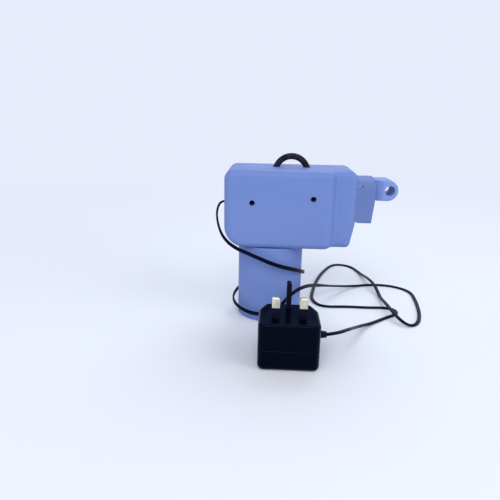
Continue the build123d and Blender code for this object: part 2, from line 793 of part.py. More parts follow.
# Nose block that fits over the barrel: a tapered side view crossed with a crowned section
nose_outline = [
    (head_right, nose_bottom),
    (head_right, nose_crown),
    (nose_end, nose_crown),
    (nose_end, nose_taper_height),
    (nose_end - nose_taper_inset, nose_bottom),
]
nose_middle = (head_right + barrel_end) / 2
nose_length = nose_end - head_right
with BuildPart() as nose_block:
    with BuildSketch(Plane.XZ):
        with BuildLine():
            Polyline(*nose_outline, close=True)
        make_face()
    extrude(amount=nose_half_depth, both=True)
    with BuildSketch(Plane((head_right, 0, 0), x_dir=(0, 1, 0), z_dir=(1, 0, 0))):
        with BuildLine():
            ThreePointArc(
                (-nose_half_depth, nose_shoulder), (0, nose_crown), (nose_half_depth, nose_shoulder)
            )
            Polyline(
                (nose_half_depth, nose_shoulder),
                (nose_half_depth, nose_bottom),
                (-nose_half_depth, nose_bottom),
                (-nose_half_depth, nose_shoulder),
            )
        make_face()
    extrude(amount=nose_length, mode=Mode.INTERSECT)
    fillet(
        nose_block.edges().filter_by(
            lambda e: e.center().X > head_right + cut_margin
            and e.center().Z > nose_bottom + cut_margin
            and (abs(e.center().Y) > nose_half_depth - 0.01 or e.center().Z > nose_shoulder)
        ),
        nose_edge_radius,
    )
    with BuildSketch(Plane.XY.offset(nose_bottom)):
        with Locations(((head_right + nose_end) / 2, 0)):
            Rectangle(nose_length + cut_margin, 2 * nose_half_depth + cut_margin)
            Rectangle(
                nose_length - 2 * nose_taper_inset - nose_lip_depth,
                2 * nose_half_depth - 2 * nose_lip_depth,
                mode=Mode.SUBTRACT,
            )
    extrude(amount=nose_lip_height / 2, mode=Mode.SUBTRACT)
    with BuildSketch(Plane.XY.offset(nose_bottom + nose_pocket_wall)):
        with Locations((nose_middle, 0)):
            Rectangle(barrel_end - head_right, 2 * (nose_half_depth - nose_pocket_wall))
    extrude(amount=nose_pocket_top - nose_bottom - nose_pocket_wall, mode=Mode.SUBTRACT)
    with BuildSketch(barrel_plane.offset(head_right)):
        Circle(barrel_radius)
    extrude(amount=barrel_end - head_right, mode=Mode.SUBTRACT)
    with BuildSketch(barrel_plane.offset(barrel_end)):
        Circle(eye_shank_radius)
    extrude(amount=nose_end - barrel_end, mode=Mode.SUBTRACT)
    with BuildSketch(Plane.XZ.offset(-nose_half_depth)):
        with Locations((set_screw_place, needle_height)):
            Circle(set_screw_radius)
    extrude(amount=nose_half_depth - barrel_radius + cut_margin, mode=Mode.SUBTRACT)
    # small notch in the front shoulder
    with BuildSketch(Plane.XY.offset(nose_shoulder - nose_notch_size / 2)):
        with Locations((nose_notch_place, -nose_half_depth)):
            Rectangle(nose_notch_size, 2 * nose_notch_size)
    extrude(amount=nose_crown - nose_shoulder, mode=Mode.SUBTRACT)
nose_block.part.label = "nose_block"
export_step(nose_block.part, "parts/nose_block.step")

with BuildPart() as nose_set_screw:
    with BuildSketch(Plane.XZ.offset(-barrel_radius)):
        with Locations((set_screw_place, needle_height)):
            Circle(set_screw_radius)
    extrude(amount=-set_screw_length)
    with BuildSketch(Plane.XZ.offset(-(barrel_radius + set_screw_length))):
        with Locations((set_screw_place, needle_height)):
            RegularPolygon(set_screw_radius / 2, 6)
    extrude(amount=set_screw_length / 3, mode=Mode.SUBTRACT)
nose_set_screw.part.label = "nose_set_screw"
export_step(nose_set_screw.part, "parts/nose_set_screw.step")

# Eye: a lug with the cross hole that a lock of hair passes through
with BuildPart() as needle_eye:
    with BuildSketch(Plane.XZ.offset(-eye_half_depth)):
        with Locations((eye_round_place, needle_height)):
            Circle(eye_outer_radius)
        with Locations(((nose_end + eye_round_place) / 2, needle_height)):
            Rectangle(eye_round_place - nose_end, 2 * eye_outer_radius)
    extrude(amount=2 * eye_half_depth)
    with BuildSketch(Plane.XY.offset(needle_height - eye_outer_radius)):
        for side in (-1, 1):
            with BuildLine():
                Polyline(
                    (nose_end, side * (eye_half_depth - eye_cheek_inset)),
                    (nose_end + eye_cheek_length, side * eye_half_depth),
                    (nose_end, side * eye_half_depth),
                    close=True,
                )
            make_face()
    extrude(amount=2 * eye_outer_radius, mode=Mode.SUBTRACT)
    with BuildSketch(Plane.XZ.offset(-eye_half_depth)):
        with Locations((eye_place, needle_height)):
            Circle(eye_bore_radius)
    extrude(amount=2 * eye_half_depth, mode=Mode.SUBTRACT)
    fillet(
        needle_eye.edges().filter_by(GeomType.CIRCLE).filter_by(
            lambda e: abs(e.radius - eye_outer_radius) < 0.01
        ),
        eye_edge_radius,
    )
    with BuildSketch(barrel_plane.offset(barrel_end)):
        Circle(eye_shank_radius)
    extrude(amount=nose_end - barrel_end)
    with BuildSketch(barrel_plane.offset(barrel_end)):
        Circle(barrel_bore_radius)
    extrude(amount=eye_shank_depth, mode=Mode.SUBTRACT)
    with BuildSketch(barrel_plane.offset(barrel_end)):
        Circle(needle_passage_radius)
    extrude(amount=eye_place - barrel_end, mode=Mode.SUBTRACT)
needle_eye.part.label = "needle_eye"
export_step(needle_eye.part, "parts/needle_eye.step")

# Hanging loop and the stops that keep its ends in the head
loop_left = loop_middle - loop_arch_radius
loop_right = loop_middle + loop_arch_radius
with BuildPart() as hanging_loop:
    with BuildLine(Plane.XZ.offset(-loop_depth_place)) as loop_line:
        Line((loop_left, loop_foot_height), (loop_left, loop_centre_height))
        ThreePointArc(
            (loop_left, loop_centre_height),
            (loop_middle, loop_top),
            (loop_right, loop_centre_height),
        )
        Line((loop_right, loop_centre_height), (loop_right, loop_foot_height))
    with BuildSketch(Plane(loop_line.line @ 0, z_dir=loop_line.line % 0)):
        Circle(loop_radius)
    sweep(path=loop_line.line)
hanging_loop.part.label = "hanging_loop"
export_step(hanging_loop.part, "parts/hanging_loop.step")

with BuildPart() as loop_stops:
    with BuildSketch(Plane.XY.offset(loop_foot_height)):
        with Locations((loop_left, loop_depth_place), (loop_right, loop_depth_place)):
            Circle(loop_stop_radius)
    extrude(amount=-loop_stop_height)
    chamfer(loop_stops.edges(), 0.6)
loop_stops.part.label = "loop_stops"
export_step(loop_stops.part, "parts/loop_stops.step")

# Rocker switch
switch_face = head_half_depth + switch_bezel_height
pocket_size = (
    2 * (rocker_half_width + rocker_side_gap),
    2 * (rocker_half_length + rocker_end_gap),
)
with BuildPart() as switch_body:
    with BuildSketch(Plane.XZ.offset(-head_half_depth)):
        with Locations(switch_place):
            RectangleRounded(*switch_bezel, 1)
    extrude(amount=-switch_bezel_height)
    with BuildSketch(Plane.XZ.offset(-head_half_depth)):
        with Locations(switch_place):
            Rectangle(switch_cutout[0] - 2 * switch_gap, switch_cutout[1] - 2 * switch_gap)
    extrude(amount=switch_body_depth)
    with BuildSketch(Plane.XZ.offset(-switch_face)):
        with Locations(switch_place):
            Rectangle(*pocket_size)
    extrude(amount=rocker_pocket_depth + switch_bezel_height, mode=Mode.SUBTRACT)
switch_body.part.label = "switch_body"
export_step(switch_body.part, "parts/switch_body.step")

with BuildPart() as switch_blades:
    with BuildSketch(Plane.XZ.offset(switch_body_depth - head_half_depth)):
        with Locations(switch_place):
            with GridLocations(0, blade_spacing, 1, 2):
                Rectangle(terminal_width, terminal_thickness)
    extrude(amount=blade_length)
switch_blades.part.label = "switch_blades"
export_step(switch_blades.part, "parts/switch_blades.step")

rocker_pivot = switch_face + rocker_pivot_rise - rocker_height / 2
rocker_plane = Plane(
    (switch_x - rocker_half_width, rocker_pivot, switch_z),
    x_dir=(0, sin(radians(rocker_tilt)), cos(radians(rocker_tilt))),
    z_dir=(1, 0, 0),
)
with BuildPart() as switch_rocker:
    with BuildSketch(rocker_plane):
        with BuildLine():
            Polyline(
                (-rocker_half_length, 0),
                (-rocker_half_length, -rocker_height),
                (0, -rocker_height + rocker_dip),
                (rocker_half_length, -rocker_height),
                (rocker_half_length, 0),
                (0, rocker_keel),
                close=True,
            )
        make_face()
    extrude(amount=2 * rocker_half_width)
    fillet(switch_rocker.edges().filter_by(Axis.X).group_by(Axis.Y)[-1], 0.4)
switch_rocker.part.label = "switch_rocker"
export_step(switch_rocker.part, "parts/switch_rocker.step")

# Grommet where the power cord leaves the head
with BuildPart() as cord_grommet:
    with BuildSketch(grommet_plane):
        Circle(grommet_radius)
    extrude(amount=grommet_flange)
    chamfer(cord_grommet.edges().group_by(Axis.X)[0], grommet_flange / 3)
    with BuildSketch(grommet_plane.offset(grommet_flange)):
        Circle(grommet_hole_radius)
    extrude(amount=head_wall)
    with BuildSketch(grommet_plane.offset(grommet_flange + head_wall)):
        Circle(grommet_radius)
    extrude(amount=grommet_flange)
cord_grommet.part.label = "cord_grommet"
export_step(cord_grommet.part, "parts/cord_grommet.step")


def corner_radii(points, share):
    """The largest arcs that the two runs beside each corner allow."""
    radii = []
    for before, here, after in zip(points, points[1:], points[2:]):
        run_in = Vector(*here) - Vector(*before)
        run_out = Vector(*after) - Vector(*here)
        turn = radians(run_in.get_angle(run_out))
        radii.append(share * min(run_in.length, run_out.length) / tan(turn / 2))
    return radii


# Leads inside the housing: one to the switch, one from it to the motor, one straight back
grommet_inside = head_left + head_wall + grommet_flange
blade_tip = head_half_depth - switch_body_depth - blade_length
terminal_x = terminal_spacing / 2
terminal_end = bell_bottom - terminal_height
slot_x = -(neck_bore_radius + lead_slot_outer) / 2 + 0.2
lead_side = lead_slot_width / 4
lead_drop = 5 * head_wall + 1.5
lead_routes = {
    "switch_lead": [
        (grommet_inside, lead_side, grommet_height),
        (grommet_inside + lead_start, lead_side, grommet_height),
        (switch_x - 2, lead_side + 0.5, grommet_height - 7.5),
        (switch_x, blade_tip - 5, switch_z + blade_spacing / 2),
        (switch_x, blade_tip, switch_z + blade_spacing / 2),
    ],
    "motor_lead": [
        (switch_x, blade_tip, switch_z - blade_spacing / 2),
        (switch_x, blade_tip - 4, switch_z - blade_spacing / 2),
        (slot_x - 0.8, lead_side, flange_seat),
        (slot_x, lead_side, head_bottom + 3),
        (slot_x - 0.2, lead_side, head_bottom - lead_drop),
        (slot_x, lead_side, motor_bottom + 3),
        (slot_x + 0.8, lead_side - 0.2, terminal_end + 2),
        (-terminal_x - 8, lead_side / 2, terminal_end - 5),
        (-terminal_x, 0, terminal_end - 6.5),
        (-terminal_x, 0, terminal_end),
    ],
    "return_lead": [
        (grommet_inside, -lead_side, grommet_height),
        (grommet_inside + lead_start, -lead_side, grommet_height),
        (switch_x - 2.5, -lead_side - 0.2, grommet_height - 9),
        (slot_x - 2.6, -lead_side, flange_seat + 7),
        (slot_x - 0.4, -lead_side, flange_seat - 1),
        (slot_x, -lead_side, head_bottom - 1),
        (slot_x - 0.2, -lead_side, head_bottom - lead_drop),
        (slot_x, -lead_side, motor_bottom + 3),
        (slot_x + 0.8, -lead_side + 0.2, terminal_end + 1),
        (-terminal_x - 6, -lead_side / 2, terminal_end - lead_hang + 1.5),
        (0, -lead_side / 4, terminal_end - lead_hang),
        (terminal_x, 0, terminal_end - 8),
        (terminal_x, 0, terminal_end),
    ],
}

# Power cord: it leaves the grommet, winds round the handle, lies in loops on the
# surface and rises to the side of the wall adaptor
floor_level = cord_radius
cord_route = [
    (head_left - grommet_flange, 0, grommet_height),
    (-53.5, 0, 114),
    (-55, -4.5, 104),
    (-52.5, -11, 92),
    (-46.5, -21.5, 81),
    (-33, -34, 74),
    (-14.8, -39.5, 69),
    (10.2, -39.5, 61.5),
    (31, -26, 51.5),
    (40.4, -1.4, 43.5),
    (32.7, 23.8, 36.5),
    (11.1, 38.8, 30),
    (-15.1, 37.4, 24),
    (-35, 20.2, 18),
    (-40, -5.6, 12.5),
    (-29, -28, 8.5),
    (-9.5, -39, 9.5),
    (11, -40, 19.5),
    (29.5, -29.5, 33),
    (42.5, -3, 34),
    (53, 27, 19.5),
    (74, 54, 7.5),
    (99, 73, floor_level),
    (124, 81, floor_level),
    (147, 78, floor_level),
    (164, 62, floor_level),
    (163.5, 34, floor_level),
    (160, 6, floor_level),
    (155, -14, floor_level),
    (149, -28, floor_level),
    (141, -35.5, floor_level),
    (133.5, -32, 3),
    (130, -20.5, 6),
    (127.5, -7, 7.8),
    (125.5, 12, 7.8),
    (125.5, 32, 3.4),
    (124.5, 48, 3.4),
    (122, 66, 7.8),
    (120.5, 87, 7.8),
    (117, 114, floor_level),
    (108, 149, floor_level),
    (86, 156, floor_level),
    (70, 126, floor_level),
    (56, 88, floor_level),
    (48.5, 55, floor_level),
    (44.5, 27, floor_level),
    (56, 8, floor_level),
    (82, 11, floor_level),
    (105, 10, floor_level),
    (121, 11.5, floor_level),
    (130.5, 9, floor_level),
    (134, 1, floor_level),
    (129, -7, floor_level),
    (117, -14, floor_level),
    (103, -25, floor_level),
    (90, -42, 4.5),
    (79, -62, 11.5),
    (69, -86, 19.8),
    (59, relief_depth_place, relief_height),
    (adaptor_place[0] + adaptor_size[0] / 2 + relief_length, relief_depth_place, relief_height),
]
cord_radii = corner_radii(cord_route, cord_bend_share)
print("cord bend radii", [round(r, 1) for r in cord_radii])

with BuildPart() as power_cord:
    with BuildLine() as cord_line:
        FilletPolyline(*cord_route, radius=cord_radii)
    with BuildSketch(Plane(cord_line.line @ 0, z_dir=cord_line.line % 0)):
        Circle(cord_radius)
    sweep(path=cord_line.line)
power_cord.part.label = "power_cord"
export_step(power_cord.part, "parts/power_cord.step")
cord_length = sum(edge.length for edge in cord_line.edges())
cord_share = power_cord.part.volume / (pi * cord_radius**2 * cord_length)
print("cord length", round(cord_length, 1), "share of the full volume", round(cord_share, 4))

with BuildPart() as switch_lead:
    with BuildLine() as switch_lead_line:
        FilletPolyline(
            *lead_routes["switch_lead"],
            radius=corner_radii(lead_routes["switch_lead"], cord_bend_share),
        )
    with BuildSketch(Plane(switch_lead_line.line @ 0, z_dir=switch_lead_line.line % 0)):
        Circle(lead_radius)
    sweep(path=switch_lead_line.line)
switch_lead.part.label = "switch_lead"
export_step(switch_lead.part, "parts/switch_lead.step")

with BuildPart() as motor_lead:
    with BuildLine() as motor_lead_line:
        FilletPolyline(
            *lead_routes["motor_lead"],
            radius=corner_radii(lead_routes["motor_lead"], cord_bend_share),
        )
    with BuildSketch(Plane(motor_lead_line.line @ 0, z_dir=motor_lead_line.line % 0)):
        Circle(lead_radius)
    sweep(path=motor_lead_line.line)
motor_lead.part.label = "motor_lead"
export_step(motor_lead.part, "parts/motor_lead.step")

with BuildPart() as return_lead:
    with BuildLine() as return_lead_line:
        FilletPolyline(
            *lead_routes["return_lead"],
            radius=corner_radii(lead_routes["return_lead"], cord_bend_share),
        )
    with BuildSketch(Plane(return_lead_line.line @ 0, z_dir=return_lead_line.line % 0)):
        Circle(lead_radius)
    sweep(path=return_lead_line.line)
return_lead.part.label = "return_lead"
export_step(return_lead.part, "parts/return_lead.step")

# Wall adaptor
adaptor_x, adaptor_y = adaptor_place
adaptor_width, adaptor_depth, adaptor_height = adaptor_size
adaptor_side = adaptor_x + adaptor_width / 2
pin_row_y = adaptor_y - adaptor_depth / 2 + pin_front_distance
live_pin_places = [(adaptor_x - pin_spacing / 2, pin_row_y), (adaptor_x + pin_spacing / 2, pin_row_y)]
earth_pin_place = (adaptor_x, pin_row_y + earth_pin_distance)

adaptor_front = adaptor_y - adaptor_depth / 2
adaptor_rear = adaptor_y + adaptor_depth / 2
cut_start = adaptor_rear - adaptor_cut_length
adaptor_outline = [
    (adaptor_x - adaptor_width / 2, adaptor_front),
    (adaptor_x + adaptor_width / 2, adaptor_front),
    (adaptor_x + adaptor_width / 2, cut_start),
    (adaptor_x + adaptor_rear_width / 2, adaptor_rear),
    (adaptor_x - adaptor_rear_width / 2, adaptor_rear),
    (adaptor_x - adaptor_width / 2, cut_start),
]
with BuildSketch() as adaptor_plan:
    with BuildLine():
        FilletPolyline(*adaptor_outline, radius=adaptor_edge_radius, close=True)
    make_face()

with BuildPart() as adaptor_body:
    extrude(adaptor_plan.sketch, amount=adaptor_seam)
    fillet(adaptor_body.edges().group_by(Axis.Z)[0], adaptor_foot_radius)
    chamfer(adaptor_body.edges().group_by(Axis.Z)[-1], adaptor_seam_groove)
adaptor_body.part.label = "adaptor_body"
export_step(adaptor_body.part, "parts/adaptor_body.step")

with BuildPart() as adaptor_cover:
    with BuildSketch(Plane.XY.offset(adaptor_seam)):
        add(adaptor_plan.sketch)
    extrude(amount=adaptor_height - adaptor_seam)
    fillet(adaptor_cover.edges().group_by(Axis.Z)[-1], adaptor_rim_radius)
    chamfer(adaptor_cover.edges().group_by(Axis.Z)[0], adaptor_seam_groove)
    with BuildSketch(Plane.XY.offset(adaptor_height)):
        with Locations(*live_pin_places):
            Rectangle(*live_pin_section)
        with Locations(earth_pin_place):
            Rectangle(*earth_pin_section)
    extrude(amount=-pin_root, mode=Mode.SUBTRACT)
adaptor_cover.part.label = "adaptor_cover"
export_step(adaptor_cover.part, "parts/adaptor_cover.step")

root_level = adaptor_height - pin_root
with BuildPart() as live_pins:
    with BuildSketch(Plane.XY.offset(root_level)):
        with Locations(*live_pin_places):
            Rectangle(*live_pin_section)
    extrude(amount=pin_root)
    with BuildSketch(Plane.XY.offset(adaptor_height)):
        with Locations(*live_pin_places):
            Rectangle(
                live_pin_section[0] - 2 * pin_sleeve_wall, live_pin_section[1] - 2 * pin_sleeve_wall
            )
    extrude(amount=live_pin_sleeve)
    with BuildSketch(Plane.XY.offset(adaptor_height + live_pin_sleeve)):
        with Locations(*live_pin_places):
            Rectangle(*live_pin_section)
    extrude(amount=live_pin_length - live_pin_sleeve)
    chamfer(live_pins.edges().group_by(Axis.Z)[-1], pin_tip_chamfer)
live_pins.part.label = "live_pins"
export_step(live_pins.part, "parts/live_pins.step")

with BuildPart() as pin_sleeves:
    with BuildSketch(Plane.XY.offset(adaptor_height)):
        for place in live_pin_places:
            with Locations(place):
                Rectangle(*live_pin_section)
                Rectangle(
                    live_pin_section[0] - 2 * pin_sleeve_wall,
                    live_pin_section[1] - 2 * pin_sleeve_wall,
                    mode=Mode.SUBTRACT,
                )
    extrude(amount=live_pin_sleeve)
pin_sleeves.part.label = "pin_sleeves"
export_step(pin_sleeves.part, "parts/pin_sleeves.step")

with BuildPart() as earth_pin:
    with BuildSketch(Plane.XY.offset(root_level)):
        with Locations(earth_pin_place):
            Rectangle(*earth_pin_section)
    extrude(amount=pin_root + earth_pin_length)
    chamfer(earth_pin.edges().group_by(Axis.Z)[-1], pin_tip_chamfer)
earth_pin.part.label = "earth_pin"
export_step(earth_pin.part, "parts/earth_pin.step")

with BuildPart() as adaptor_relief:
    with BuildSketch(
        Plane((adaptor_side, relief_depth_place, relief_height), x_dir=(0, 1, 0), z_dir=(1, 0, 0))
    ):
        Circle(relief_root_radius)
    with BuildSketch(
        Plane(
            (adaptor_side + relief_length, relief_depth_place, relief_height),
            x_dir=(0, 1, 0),
            z_dir=(1, 0, 0),
        )
    ):
        Circle(relief_tip_radius)
    loft()
adaptor_relief.part.label = "adaptor_relief"
export_step(adaptor_relief.part, "parts/adaptor_relief.step")

print("needle stroke", 2 * crank_radius, "rod swing", round(degrees(asin(crank_radius / rod_length)), 2))
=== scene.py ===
import json
import math

import bmesh
import bpy
from mathutils import Matrix, Vector


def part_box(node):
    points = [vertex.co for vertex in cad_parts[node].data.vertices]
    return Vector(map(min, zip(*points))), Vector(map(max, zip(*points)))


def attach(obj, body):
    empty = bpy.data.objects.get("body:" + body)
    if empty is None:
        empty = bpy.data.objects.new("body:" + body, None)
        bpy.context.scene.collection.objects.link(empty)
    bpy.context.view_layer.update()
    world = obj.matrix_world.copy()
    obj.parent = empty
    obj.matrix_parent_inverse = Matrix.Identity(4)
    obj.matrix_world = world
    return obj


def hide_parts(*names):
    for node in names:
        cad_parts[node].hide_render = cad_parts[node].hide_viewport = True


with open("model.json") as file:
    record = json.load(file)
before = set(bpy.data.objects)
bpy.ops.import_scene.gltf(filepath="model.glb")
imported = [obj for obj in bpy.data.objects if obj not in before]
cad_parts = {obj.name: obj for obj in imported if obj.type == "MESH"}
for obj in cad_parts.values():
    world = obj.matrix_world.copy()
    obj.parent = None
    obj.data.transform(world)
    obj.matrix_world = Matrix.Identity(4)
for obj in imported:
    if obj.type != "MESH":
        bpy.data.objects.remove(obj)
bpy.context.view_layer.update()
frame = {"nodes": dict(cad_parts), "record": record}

# A hand-held needle machine with its cord and mains adaptor, dressed over its CAD frame.
# Lengths are metres, angles are radians and colours are sRGB from 0 to 1.

MM = 0.001
NODES = frame["nodes"]
RECORD = frame["record"]

# Camera at the photograph's viewing angle
CAMERA_PLACE = Vector((-0.821, -463.872, 203.653)) * MM
CAMERA_YAW = -0.043
CAMERA_PITCH = 0.292
CAMERA_ROLL = 0.018
FOCAL_PIXELS = 476.63
PHOTO_PIXELS = 500
SENSOR_WIDTH = 36.0
CLIP_NEAR = 0.01
CLIP_FAR = 50

# Braid of the hanging loop: waves in a full turn of the arch, and round the cord
BRAID_TURNS = 24
BRAID_STRANDS = 6

# Parts of a noise's range that are spread out over 0 to 1
WIDE_NOISE = (0.3, 0.7)
NARROW_NOISE = (0.35, 0.65)

# How noise is scaled along each axis: marks along X, marks along Z, and flow marks in plastic
ALONG_X = (0.05, 1.0, 1.0)
ALONG_Z = (1.0, 1.0, 0.05)
FLOW = (1.0, 1.0, 1.6)

# Edges: how well their rounded normal agrees with the face's own, on a flat and on an edge
FLAT_AGREEMENT = 0.995
EDGE_AGREEMENT = 0.90
BEVEL_SAMPLES = 4
RUBBED_RADIUS = 0.7 * MM
RUBBED_STRENGTH = 0.55

# Colours
SHELL_BLUE = (0.458, 0.545, 0.780)
SHELL_BLUE_DEEP = (0.432, 0.520, 0.762)
# Nose block: the shell's blue made darker, painted shade for the shade the block sits in beside
# the head
NOSE_SHADE_BLUE = (0.415, 0.493, 0.705)
NOSE_SHADE_BLUE_DEEP = (0.397, 0.474, 0.685)
EYE_BLUE = (0.508, 0.595, 0.832)
EYE_BLUE_DEEP = (0.488, 0.575, 0.812)
SHELL_RUBBED = (0.640, 0.705, 0.885)
STUDIO_WHITE = (0.905, 0.925, 0.985)
FLOOR_WHITE = (0.925, 0.936, 0.962)
ADAPTOR_BLACK = (0.010, 0.016, 0.052)
BLACK_SHINE = (0.62, 0.72, 1.00)
SATIN_BLACK = (0.054, 0.060, 0.102)
CORD_BLACK = (0.010, 0.022, 0.080)
LOOP_BLACK = (0.045, 0.045, 0.075)
LOOP_STRAND = (0.275, 0.255, 0.290)
PIN_METAL = (0.880, 0.860, 0.770)
STEEL_GREY = (0.640, 0.640, 0.660)
BLACKED_STEEL = (0.110, 0.110, 0.150)
PLATED_GREY = (0.560, 0.570, 0.590)
ALUMINIUM_GREY = (0.770, 0.775, 0.790)
BRONZE = (0.660, 0.480, 0.300)
NATURAL_WHITE = (0.860, 0.860, 0.830)
LEAD_RED = (0.640, 0.100, 0.080)
LEAD_BLUE = (0.100, 0.180, 0.560)


def linear(colour):
    """An sRGB colour as Blender's linear RGBA."""
    channels = [c / 12.92 if c <= 0.04045 else ((c + 0.055) / 1.055) ** 2.4 for c in colour]
    return (*channels, 1.0)


def shaded(colour, factor):
    """A colour made lighter or darker by a factor."""
    return tuple(min(1.0, c * factor) for c in colour)


class Shader:
    """A material with a Principled shader and short calls for the nodes in front of it.

    Each further setting is one of the shader's sockets, with _ for a space in its name.
    """

    def __init__(self, name, roughness, metallic=0.0, **settings):
        self.material = bpy.data.materials.new(name)
        self.material.use_nodes = True
        self.tree = self.material.node_tree
        self.surface = self.tree.nodes["Principled BSDF"]
        self.surface.inputs["Roughness"].default_value = roughness
        self.surface.inputs["Metallic"].default_value = metallic
        for socket, value in settings.items():
            self.surface.inputs[socket.replace("_", " ")].default_value = value
        self.place = self.tree.nodes.new("ShaderNodeTexCoord").outputs["Object"]

    def link(self, output, target):
        """A link from one node's output to another's input."""
        self.tree.links.new(output, target)

    def stretched(self, scale):
        """The object's coordinates, scaled along each axis."""
        mapping = self.tree.nodes.new("ShaderNodeMapping")
        mapping.inputs["Scale"].default_value = scale
        self.link(self.place, mapping.inputs["Vector"])
        return mapping.outputs["Vector"]

    def noise(self, scale, detail=2.0, roughness=0.5, vector=None):
        """Noise over the object's coordinates, or over others."""
        texture = self.tree.nodes.new("ShaderNodeTexNoise")
        texture.inputs["Scale"].default_value = scale
        texture.inputs["Detail"].default_value = detail
        texture.inputs["Roughness"].default_value = roughness
        self.link(vector or self.place, texture.inputs["Vector"])
        return texture.outputs["Fac"]

    def span(self, value, old, new=(0.0, 1.0)):
        """A value whose old limits are spread over the new ones."""
        remap = self.tree.nodes.new("ShaderNodeMapRange")
        for name, limit in zip(("From Min", "From Max", "To Min", "To Max"), (*old, *new)):
            remap.inputs[name].default_value = limit
        self.link(value, remap.inputs["Value"])
        return remap.outputs["Result"]

    def computed(self, operation, first, second=0.0):
        """What a Math node makes of one or two inputs; each is a number or a socket."""
        node = self.tree.nodes.new("ShaderNodeMath")
        node.operation = operation
        for socket, value in zip(node.inputs, (first, second)):
            if isinstance(value, (int, float)):
                socket.default_value = value
            else:
                self.link(value, socket)
        return node.outputs["Value"]

    def mixed(self, factor, first, second):
        """Two colours, mixed by a factor; each is an sRGB colour or a socket."""
        node = self.tree.nodes.new("ShaderNodeMix")
        node.data_type = "RGBA"
        self.link(factor, node.inputs["Factor"])
        for name, value in (("A", first), ("B", second)):
            socket = next(s for s in node.inputs if s.name == name and s.type == "RGBA")
            if isinstance(value, tuple):
                socket.default_value = linear(value)
            else:
                self.link(value, socket)
        return next(s for s in node.outputs if s.type == "RGBA")

    def rounded_normal(self, radius):
        """The surface's normal, with edges rounded to a radius."""
        bevel = self.tree.nodes.new("ShaderNodeBevel")
        bevel.samples = BEVEL_SAMPLES
        bevel.inputs["Radius"].default_value = radius
        return bevel.outputs["Normal"]

    def edges(self, radius):
        """How near a point is to an edge: 1 on it and 0 away from it."""
        geometry = self.tree.nodes.new("ShaderNodeNewGeometry")
        product = self.tree.nodes.new("ShaderNodeVectorMath")
        product.operation = "DOT_PRODUCT"
        self.link(self.rounded_normal(radius), product.inputs[0])
        self.link(geometry.outputs["Normal"], product.inputs[1])
        return self.span(product.outputs["Value"], (FLAT_AGREEMENT, EDGE_AGREEMENT))

    def bumped(self, height, strength, distance, edge_radius=0.0):
        """Bump from a height and, with an edge radius, edges that the shader rounds."""
        bump = self.tree.nodes.new("ShaderNodeBump")
        bump.inputs["Strength"].default_value = strength
        bump.inputs["Distance"].default_value = distance
        self.link(height, bump.inputs["Height"])
        if edge_radius:
            self.link(self.rounded_normal(edge_radius), bump.inputs["Normal"])
        self.link(bump.outputs["Normal"], self.surface.inputs["Normal"])

    def colour(self, source):
        """The surface's colour, an sRGB colour or a socket."""
        if isinstance(source, tuple):
            self.surface.inputs["Base Color"].default_value = linear(source)
        else:
            self.link(source, self.surface.inputs["Base Color"])

    def rough(self, source):
        """The surface's roughness, from a socket."""
        self.link(source, self.surface.inputs["Roughness"])


def shell_plastic(name, light, deep):
    """Satin moulded plastic: fine grain, faint flow marks, and rubbed edges."""
    s = Shader(name, roughness=0.48, Specular_IOR_Level=0.10)
    flow = s.noise(9.0, detail=4.0, roughness=0.55, vector=s.stretched(FLOW))
    base = s.mixed(s.span(flow, NARROW_NOISE), light, deep)
    patches = s.span(s.noise(140.0, detail=5.0, roughness=0.7), (0.45, 0.62))
    rubbed = s.computed("MULTIPLY", s.edges(RUBBED_RADIUS), patches)
    s.colour(s.mixed(s.computed("MULTIPLY", rubbed, RUBBED_STRENGTH), base, SHELL_RUBBED))
    s.rough(s.span(s.noise(60.0, detail=3.0), WIDE_NOISE, (0.40, 0.54)))
    grain = s.noise(2600.0, roughness=0.6)
    s.bumped(grain, strength=0.10, distance=0.05 * MM, edge_radius=0.35 * MM)
    return s.material


def adaptor_gloss():
    """Polished black plastic with a light haze of handling."""
    tint = linear(BLACK_SHINE)
    s = Shader("black_gloss", roughness=0.16, Specular_IOR_Level=0.08, Specular_Tint=tint)
    s.colour(ADAPTOR_BLACK)
    haze = s.noise(70.0, detail=5.0, roughness=0.65)
    s.rough(s.span(haze, (0.35, 0.75), (0.12, 0.30)))
    s.bumped(s.noise(900.0), strength=0.04, distance=0.05 * MM, edge_radius=0.30 * MM)
    return s.material


def black_satin(name, colour, roughness, grain_scale):
    """Satin black plastic or rubber with a fine grain."""
    s = Shader(name, roughness, Specular_IOR_Level=0.10, Specular_Tint=linear(BLACK_SHINE))
    grain = s.noise(grain_scale, detail=3.0, roughness=0.6)
    s.colour(s.mixed(s.span(grain, WIDE_NOISE), colour, shaded(colour, 1.35)))
    s.rough(s.span(s.noise(120.0), WIDE_NOISE, (roughness - 0.06, roughness + 0.08)))
    s.bumped(grain, strength=0.12, distance=0.06 * MM, edge_radius=0.20 * MM)
    return s.material


